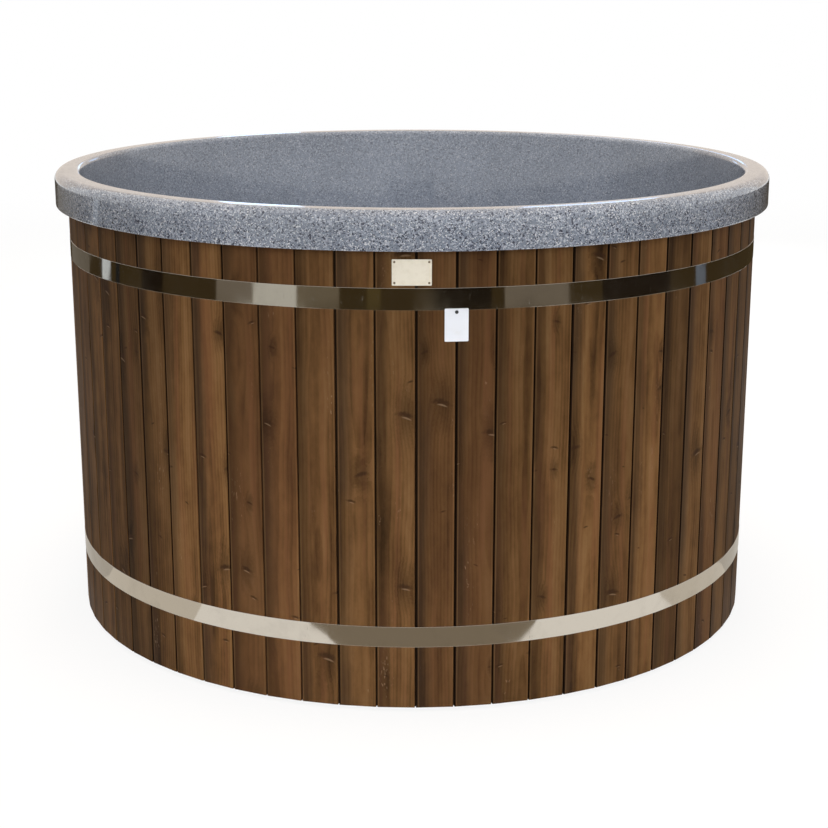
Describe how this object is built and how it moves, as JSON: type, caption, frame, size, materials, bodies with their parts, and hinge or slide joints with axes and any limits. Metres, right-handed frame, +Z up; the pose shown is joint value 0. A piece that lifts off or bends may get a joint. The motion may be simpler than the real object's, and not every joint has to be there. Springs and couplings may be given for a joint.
{
  "type": "round hot tub",
  "caption": "Round hot tub: a speckled moulded shell with rolled rim, bench and footwell inside a dark stave wall held by steel bands, with rear heater spigots and a lever drain valve.",
  "frame": {"origin": "on the ground at the tub's vertical axis, on the underside of the middle base runner", "axes": "+Z up along the tub's axis, -Y toward the front with the plate and tag, +Y out of the rear drain"},
  "size_m": [1.8, 1.9128, 1.128],
  "materials": {
    "speckled_shell": "gloss",
    "stave_wood": "satin",
    "base_wood": "matte",
    "polished_steel": "polished",
    "plain_steel": "satin",
    "ivory_plate": "satin",
    "white_card": "satin",
    "black_plastic": "satin",
    "grey_plastic": "satin",
    "white_plastic": "satin",
    "red_plastic": "satin",
    "black_rubber": "matte",
    "foam": "matte"
  },
  "bodies": {
    "tub": {"band_bolts": "plain_steel", "band_lugs": "plain_steel", "band_nuts": "plain_steel", "band_rivets": "plain_steel", "band_washers": "plain_steel", "base_deck_left": "base_wood", "base_deck_right": "base_wood", "base_runner_1": "base_wood", "base_runner_2": "base_wood", "base_runner_3": "base_wood", "base_runner_4": "base_wood", "base_runner_5": "base_wood", "bench_posts": "base_wood", "deck_screws": "plain_steel", "drain_clamp_ring": "grey_plastic", "drain_clamp_screws": "plain_steel", "drain_cup": "grey_plastic", "drain_gasket": "black_rubber", "drain_pipe": "grey_plastic", "drain_strainer": "plain_steel", "drain_wall_flange": "grey_plastic", "fitting_gaskets": "black_rubber", "fitting_grilles": "black_plastic", "fitting_locknuts": "black_plastic", "floor_insulation": "foam", "grille_screws": "plain_steel", "lower_band": "polished_steel", "name_plate": "ivory_plate", "name_plate_pins": "plain_steel", "pipe_collars": "black_rubber", "return_coupling": "black_plastic", "return_fitting": "black_plastic", "return_pipe": "black_plastic", "rim_seal": "black_rubber", "service_stave_high": "stave_wood", "service_stave_low": "stave_wood", "service_stave_middle": "stave_wood", "staves_1": "stave_wood", "staves_2": "stave_wood", "staves_3": "stave_wood", "staves_4": "stave_wood", "staves_5": "stave_wood", "staves_6": "stave_wood", "staves_7": "stave_wood", "strainer_screws": "plain_steel", "supply_fitting": "black_plastic", "tag_peg": "black_plastic", "tub_shell": "speckled_shell", "upper_band": "polished_steel", "valve_body": "grey_plastic", "valve_end_cap": "grey_plastic", "valve_packing_nut": "grey_plastic", "valve_seats": "white_plastic", "wall_flange_screws": "plain_steel", "wall_insulation": "foam"},
    "valve_rotor": {"valve_ball": "white_plastic", "valve_stem": "grey_plastic", "valve_lever": "red_plastic", "valve_lever_nut": "plain_steel"},
    "tag": {"hang_tag": "white_card"}
  },
  "joints": [
    {"name": "drain_lever_turn", "type": "hinge", "parent": "tub", "child": "valve_rotor", "pos_m": [0, 0.94, 0.145], "axis": [0, 0, -1], "range_deg": [0, 90]},
    {"name": "tag_swing", "type": "hinge", "parent": "tub", "child": "tag", "pos_m": [0.08682, -0.86767, 0.91], "axis": [0.0996, -0.995, 0], "range_deg": [-90, 90]}
  ]
}
